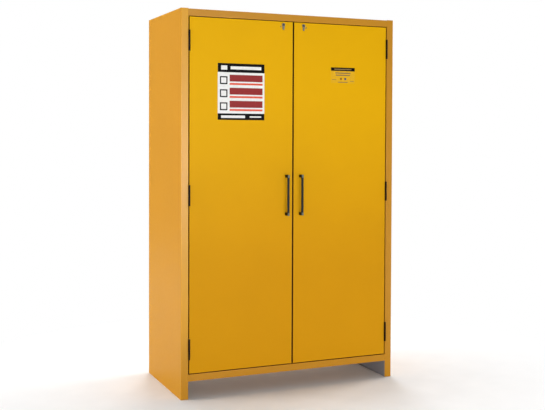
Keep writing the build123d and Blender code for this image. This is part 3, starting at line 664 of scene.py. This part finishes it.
def fasteners():
    rear_rivets()
    spigot_trim()
    thread("earth_thread", "earth_stud", "carcass", **EARTH_THREAD)
    for foot in FEET:
        thread(f"{foot}_foot_thread", f"{foot}_foot", f"{foot}_foot", **FOOT_THREAD)
    upright_screws()
    for side in OUTWARD:
        door_fasteners(side)


# ---- sign panels -----------------------------------------------------------------
FILM_THICK = 0.5 * MM
INK_THICK = 0.06 * MM
WHOLE = (0.0, 1.0)
LEFT_PANEL = ((-406.7 * MM, -155.1 * MM), (1401 * MM, 1687 * MM))
RIGHT_PANEL = ((222.9 * MM, 364 * MM), (1603.5 * MM, 1686 * MM))
PANEL_ROWS = (0.62, 0.39, 0.16)


def inside(span, share):
    """A stretch of a span, from shares of it."""
    width = span[1] - span[0]
    return (span[0] + share[0] * width, span[0] + share[1] * width)


def panel(side, area, layers):
    """Thin cards on a door's face, in plain colours.

    A layer has a name, a material, its level (0 is the film itself), the radius of its corners
    in millimetres, and its boxes as shares of the panel's width and height.
    """
    x, z = area
    for name, material, level, radius, boxes in layers:
        thick = INK_THICK if level else FILM_THICK
        behind = FRONT - FILM_THICK - (level - 1) * INK_THICK if level else FRONT
        mesh = bmesh.new()
        for across, up in boxes:
            card(mesh, inside(x, across), inside(z, up), behind - thick, behind, radius * MM)
        finish_mesh(f"{side}_panel_{name}", mesh, f"{side}_door", (material, "door_paint"))


def each_row(across, low, high):
    """The same box in each row of the large panel."""
    return [(across, (row + low, row + high)) for row in PANEL_ROWS]


def sign_panels():
    """A large and a small panel, as plain generic layouts of bars and blank marks."""
    bars, squares, fields = (0.25, 0.96), (0.045, 0.205), (0.07, 0.18)
    light_bars = [
        ((0.07, 0.2), (0.885, 0.96)),
        ((0.27, 0.93), (0.895, 0.95)),
        ((0.07, 0.58), (0.035, 0.08)),
        ((0.68, 0.93), (0.045, 0.07)),
    ]
    panel("left", LEFT_PANEL, (
        ("film", FILM_WHITE, 0, 2.5, [(WHOLE, WHOLE)]),
        ("bands", INK_DARK, 1, 0.8, [(WHOLE, (0.842, 1.0)), (WHOLE, (0.0, 0.115))]),
        ("light_bars", FILM_WHITE, 2, 0.6, light_bars),
        ("thick_bars", INK_RED, 1, 0.6, each_row(bars, 0.06, 0.18)),
        ("thin_bars", INK_ORANGE, 1, 0.6, each_row(bars, 0.0, 0.035)),
        ("squares", INK_DARK, 1, 2.0, each_row(squares, 0.01, 0.15)),
        ("square_fields", FILM_WHITE, 2, 1.2, each_row(fields, 0.032, 0.128)),
    ))
    lines = [
        ((0.18, 0.82), (0.61, 0.68)),
        ((0.2, 0.8), (0.47, 0.54)),
        ((0.04, 0.22), (0.2, 0.23)),
        ((0.8, 0.96), (0.12, 0.15)),
        ((0.3, 0.7), (0.03, 0.08)),
    ]
    panel("right", RIGHT_PANEL, (
        ("film", FILM_YELLOW, 0, 2.0, [(WHOLE, WHOLE)]),
        ("band", INK_DARK, 1, 0.8, [(WHOLE, (0.78, 1.0))]),
        ("light_bar", INK_GREY, 2, 0.6, [((0.14, 0.86), (0.855, 0.92))]),
        ("lines", INK_GREY, 1, 0.4, lines),
        ("brown_mark", INK_BROWN, 1, 2.0, [((0.38, 0.46), (0.2, 0.34))]),
        ("blue_mark", INK_BLUE, 1, 2.0, [((0.56, 0.64), (0.2, 0.34))]),
    ))


# ---- stage -----------------------------------------------------------------------
FLOOR_RADIUS = 14.0
FLOOR_FADE = (0.65, 1.9)
FLOOR_GREYS = (grey(0.86), grey(0.9))
MIRRORED_FLOOR_GREYS = (grey(0.24), grey(0.26))
AMBIENT = 0.28
STUDIO_DIM = 0.08
BACKDROP_YAW = math.radians(36)
BACKDROP_EDGE = (math.cos(math.radians(28)), math.cos(math.radians(14)))

# Each lamp's name, place, aim, width and height, and watts.
LAMPS = (
    ("key_left", (-6.5, 1.3, 1.6), (0, 0.3, 1.0), (3.0, 3.0), 384),
    ("gloss", (0.83, -4.93, 0.98), (-0.577, -0.3075, 1.15), (0.4, 0.4), 28),
    ("frontal", (-0.3, -6.0, 1.5), (0, 0, 1.0), (0.45, 0.45), 95),
    ("front_soft", (-2.8, -5.6, 0.75), (0, 0, 0.7), (2.4, 1.4), 42),
    ("fill_right", (6.0, 1.2, 2.6), (0, 0, 1.0), (3.0, 3.0), 260),
    ("fill_back", (1.9, 6.0, 2.2), (0, 0, 1.0), (2.4, 2.4), 250),
    ("overhead", (0, 1.1, 4.6), (0, 0.6, 0), (3.0, 1.8), 62),
)


def pale_floor():
    """A pale floor that keeps the object's shadow and runs out into plain white."""
    bpy.ops.mesh.primitive_circle_add(
        vertices=96, radius=FLOOR_RADIUS, fill_type="NGON", location=(0, 0, 0)
    )
    floor = bpy.context.object
    floor.name = "floor"
    look = Shader("floor_white", 0.85, specular=0.1)
    rays = look.add("LightPath").outputs
    grain = look.noise(6)
    pale = look.ramp(grain, *FLOOR_GREYS)
    dull = look.ramp(grain, *MIRRORED_FLOOR_GREYS)
    look.colour(look.mixed(rays["Is Glossy Ray"], pale, dull))
    reach = look.add("VectorMath", {0: look.place}, operation="LENGTH").outputs["Value"]
    faded = look.spread(reach, FLOOR_FADE, (0.0, 1.0))
    share = look.calculate("MULTIPLY", faded, rays["Is Camera Ray"])
    glow = look.add("Emission").outputs["Emission"]
    mix = look.add("MixShader", {"Fac": share, 1: look.main.outputs["BSDF"], 2: glow})
    surface = look.tree.nodes["Material Output"].inputs["Surface"]
    look.tree.links.new(mix.outputs["Shader"], surface)
    floor.data.materials.append(look.material)


def white_world():
    """Soft ambient light, a white backdrop behind the object and a dim studio before it.

    Camera and transmitted rays see white everywhere; glossy rays see it only where the
    backdrop stands.
    """
    world = bpy.data.worlds.new("white_world")
    bpy.context.scene.world = world
    world.use_nodes = True
    sky = Nodes(world.node_tree)
    rays = sky.add("LightPath").outputs
    feeds = {
        0: sky.add("TexCoord").outputs["Generated"],
        1: (math.sin(BACKDROP_YAW), math.cos(BACKDROP_YAW), 0),
    }
    towards = sky.add("VectorMath", feeds, operation="DOT_PRODUCT").outputs["Value"]
    studio = sky.spread(towards, BACKDROP_EDGE, (STUDIO_DIM, 1.0))
    glossy = rays["Is Glossy Ray"]
    mirrored = sky.calculate("MULTIPLY", glossy, studio)
    ambient = sky.calculate("MULTIPLY", sky.calculate("SUBTRACT", 1.0, glossy), AMBIENT)
    soft = sky.calculate("ADD", mirrored, ambient)
    clear = sky.calculate("MAXIMUM", rays["Is Camera Ray"], rays["Is Transmission Ray"])
    background = world.node_tree.nodes["Background"].inputs
    background["Color"].default_value = grey(1.0)
    sky.tree.links.new(sky.calculate("MAXIMUM", soft, clear), background["Strength"])


def lights():
    for name, spot, aim, size, power in LAMPS:
        lamp = bpy.data.lights.new(name, "AREA")
        lamp.shape = "RECTANGLE"
        lamp.size, lamp.size_y = size
        lamp.energy = power
        holder = bpy.data.objects.new(name, lamp)
        bpy.context.scene.collection.objects.link(holder)
        holder.location = spot
        holder.rotation_euler = (Vector(aim) - Vector(spot)).to_track_quat("-Z", "Y").to_euler()
        holder.visible_camera = False


# ---- camera ----------------------------------------------------------------------
# The view was solved from the cabinet's edges.
EYE = (-1.98177, -4.92543, 1.33503)
YAW, DOWN, ROLL = (math.radians(angle) for angle in (25.028, 1.587, 0.2827))
SENSOR_WIDTH = 36
FOCAL_LENGTH = 63.87
SHIFT = (-0.0941, -0.0821)
FAR_END = 100


def camera():
    lens = bpy.data.cameras.new("camera")
    lens.sensor_width = SENSOR_WIDTH
    lens.lens = FOCAL_LENGTH
    lens.shift_x, lens.shift_y = SHIFT
    lens.clip_end = FAR_END
    eye = bpy.data.objects.new("camera", lens)
    bpy.context.scene.collection.objects.link(eye)
    aim = Matrix.Rotation(-YAW, 3, "Z") @ Matrix.Rotation(math.pi / 2 - DOWN, 3, "X")
    eye.rotation_euler = (aim @ Matrix.Rotation(ROLL, 3, "Z")).to_euler()
    eye.location = EYE
    bpy.context.scene.camera = eye


dress_cad()
gap_shade_strips()
fasteners()
sign_panels()
pale_floor()
white_world()
lights()
camera()
bpy.context.scene.view_settings.view_transform = "Standard"
